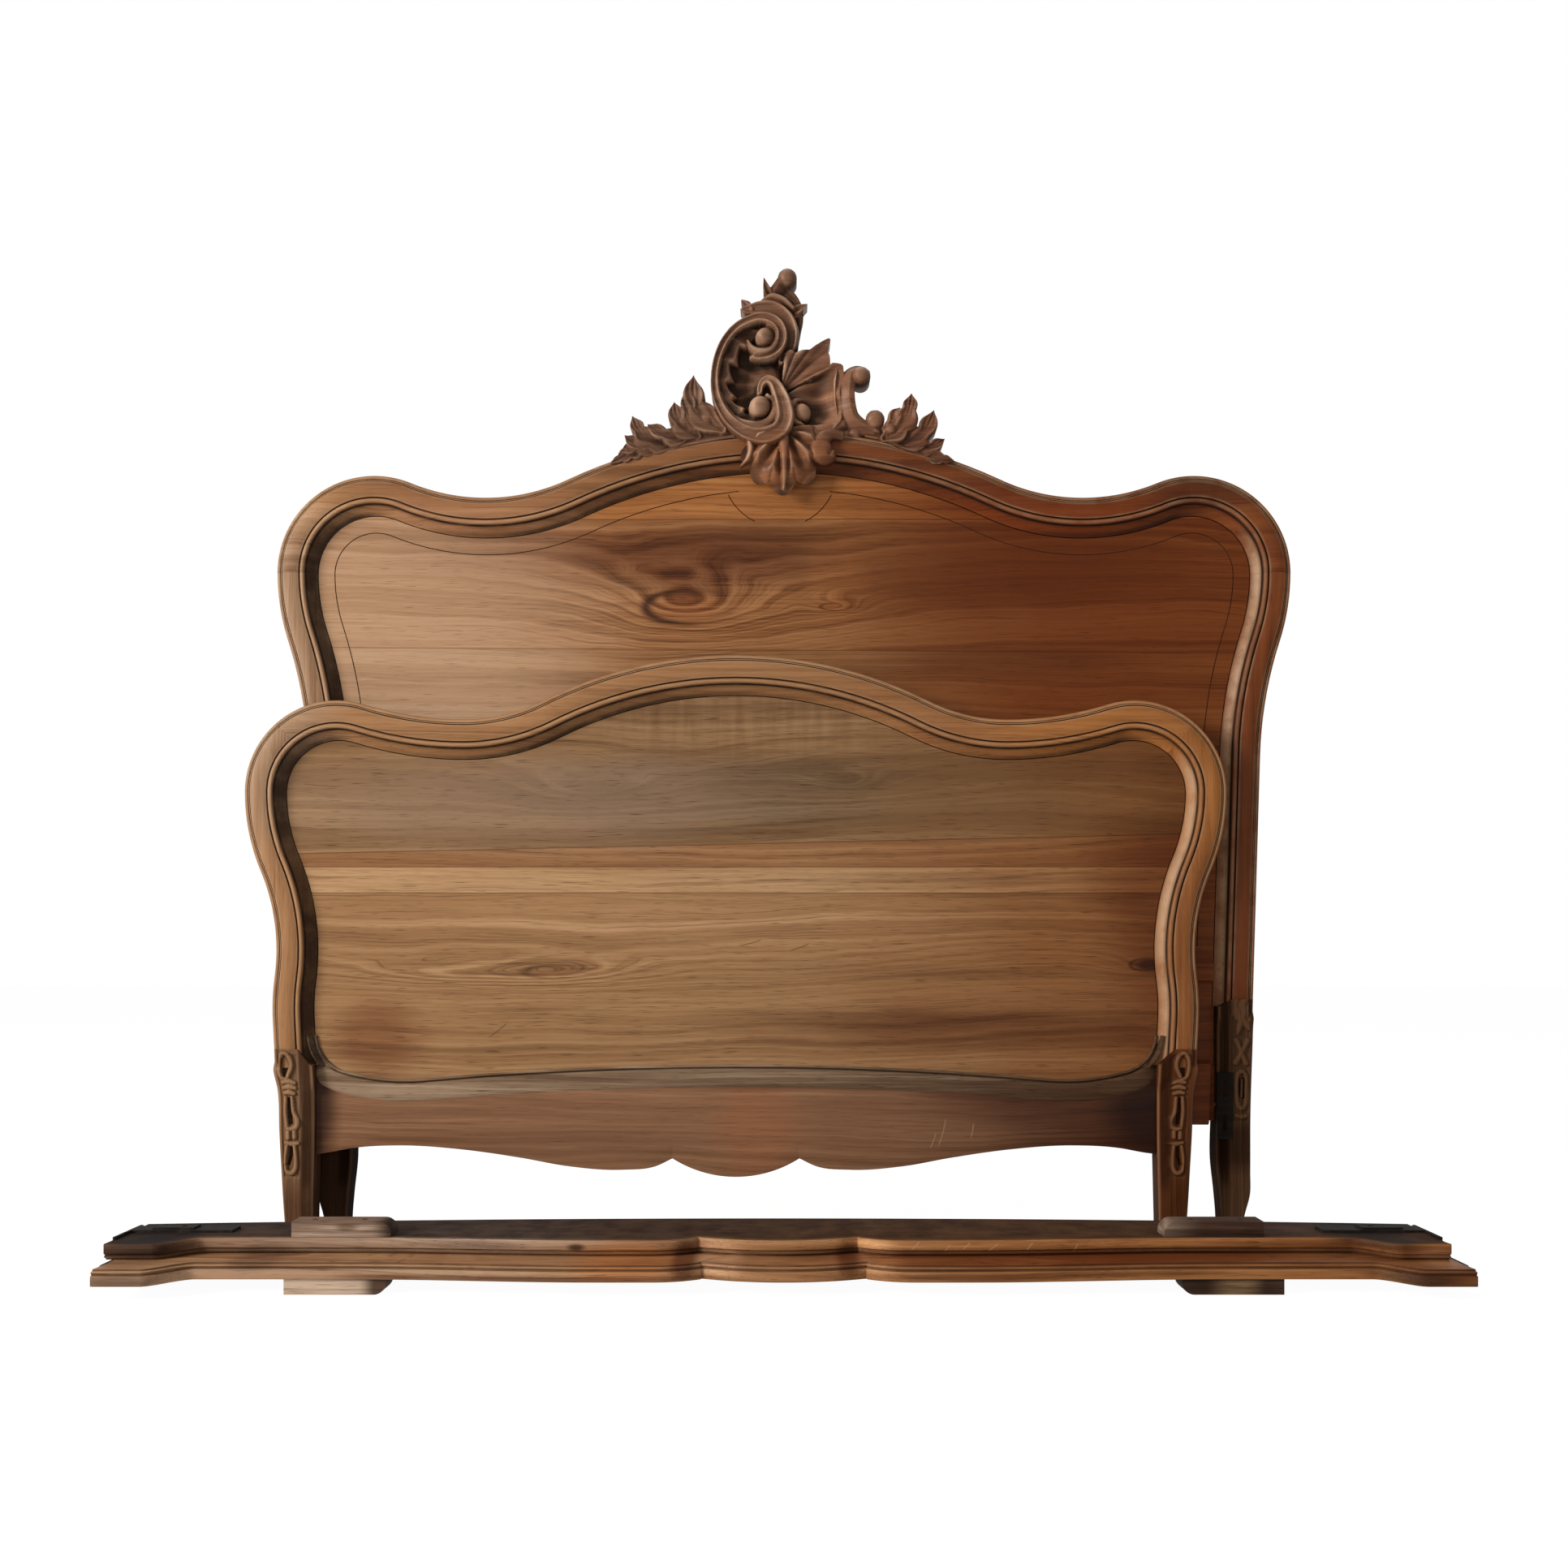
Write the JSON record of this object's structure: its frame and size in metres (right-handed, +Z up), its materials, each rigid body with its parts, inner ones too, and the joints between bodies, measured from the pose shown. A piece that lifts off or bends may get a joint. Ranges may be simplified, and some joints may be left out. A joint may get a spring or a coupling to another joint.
{
  "type": "double bed",
  "caption": "Knocked-down carved double bed: moulded headboard with a carved crest, lower footboard, and two scalloped side rails with hook plates, laid out as a set.",
  "frame": {"origin": "centre of the whole set's bounding box in X and Y, on the floor", "axes": "+X across the bed, from the viewer's left to right, along the side rails; +Y from the pile of rails to the headboard's back; +Z up"},
  "size_m": [1.909, 0.475, 1.595],
  "materials": {
    "walnut_frame": "satin wax polish",
    "walnut_panel": "satin wax polish over figured veneer-like grain",
    "walnut_carving": "dull, dusty in the hollows",
    "walnut_hidden": "bare wood",
    "block_wood": "bare, worn wood",
    "wrought_iron": "dark, slightly rusted"
  },
  "bodies": {
    "root": {"headboard_left_post": "walnut_frame", "headboard_right_post": "walnut_frame", "headboard_top_rail": "walnut_frame", "headboard_panel": "walnut_panel", "headboard_middle_rail": "walnut_frame", "headboard_lower_panel": "walnut_panel", "headboard_bottom_rail": "walnut_frame", "headboard_pegs": "walnut_hidden", "headboard_dowels": "walnut_hidden", "headboard_keepers": "wrought_iron", "headboard_keeper_screws": "wrought_iron", "crest_cartouche": "walnut_carving", "crest_pendant": "walnut_carving", "crest_left_spray": "walnut_carving", "crest_right_spray": "walnut_carving", "crest_dowels": "walnut_hidden", "footboard_left_post": "walnut_frame", "footboard_right_post": "walnut_frame", "footboard_top_rail": "walnut_frame", "footboard_panel": "walnut_panel", "footboard_band": "walnut_frame", "footboard_apron": "walnut_frame", "footboard_pegs": "walnut_hidden", "footboard_dowels": "walnut_hidden", "footboard_keepers": "wrought_iron", "footboard_keeper_screws": "wrought_iron", "upper_rail_board": "walnut_frame", "upper_rail_head_hooks": "wrought_iron", "upper_rail_foot_hooks": "wrought_iron", "upper_rail_head_block": "block_wood", "upper_rail_foot_block": "block_wood", "upper_rail_screws": "wrought_iron", "lower_rail_board": "walnut_frame", "lower_rail_head_hooks": "wrought_iron", "lower_rail_foot_hooks": "wrought_iron", "lower_rail_head_block": "block_wood", "lower_rail_foot_block": "block_wood", "lower_rail_screws": "wrought_iron"}
  },
  "joints": []
}
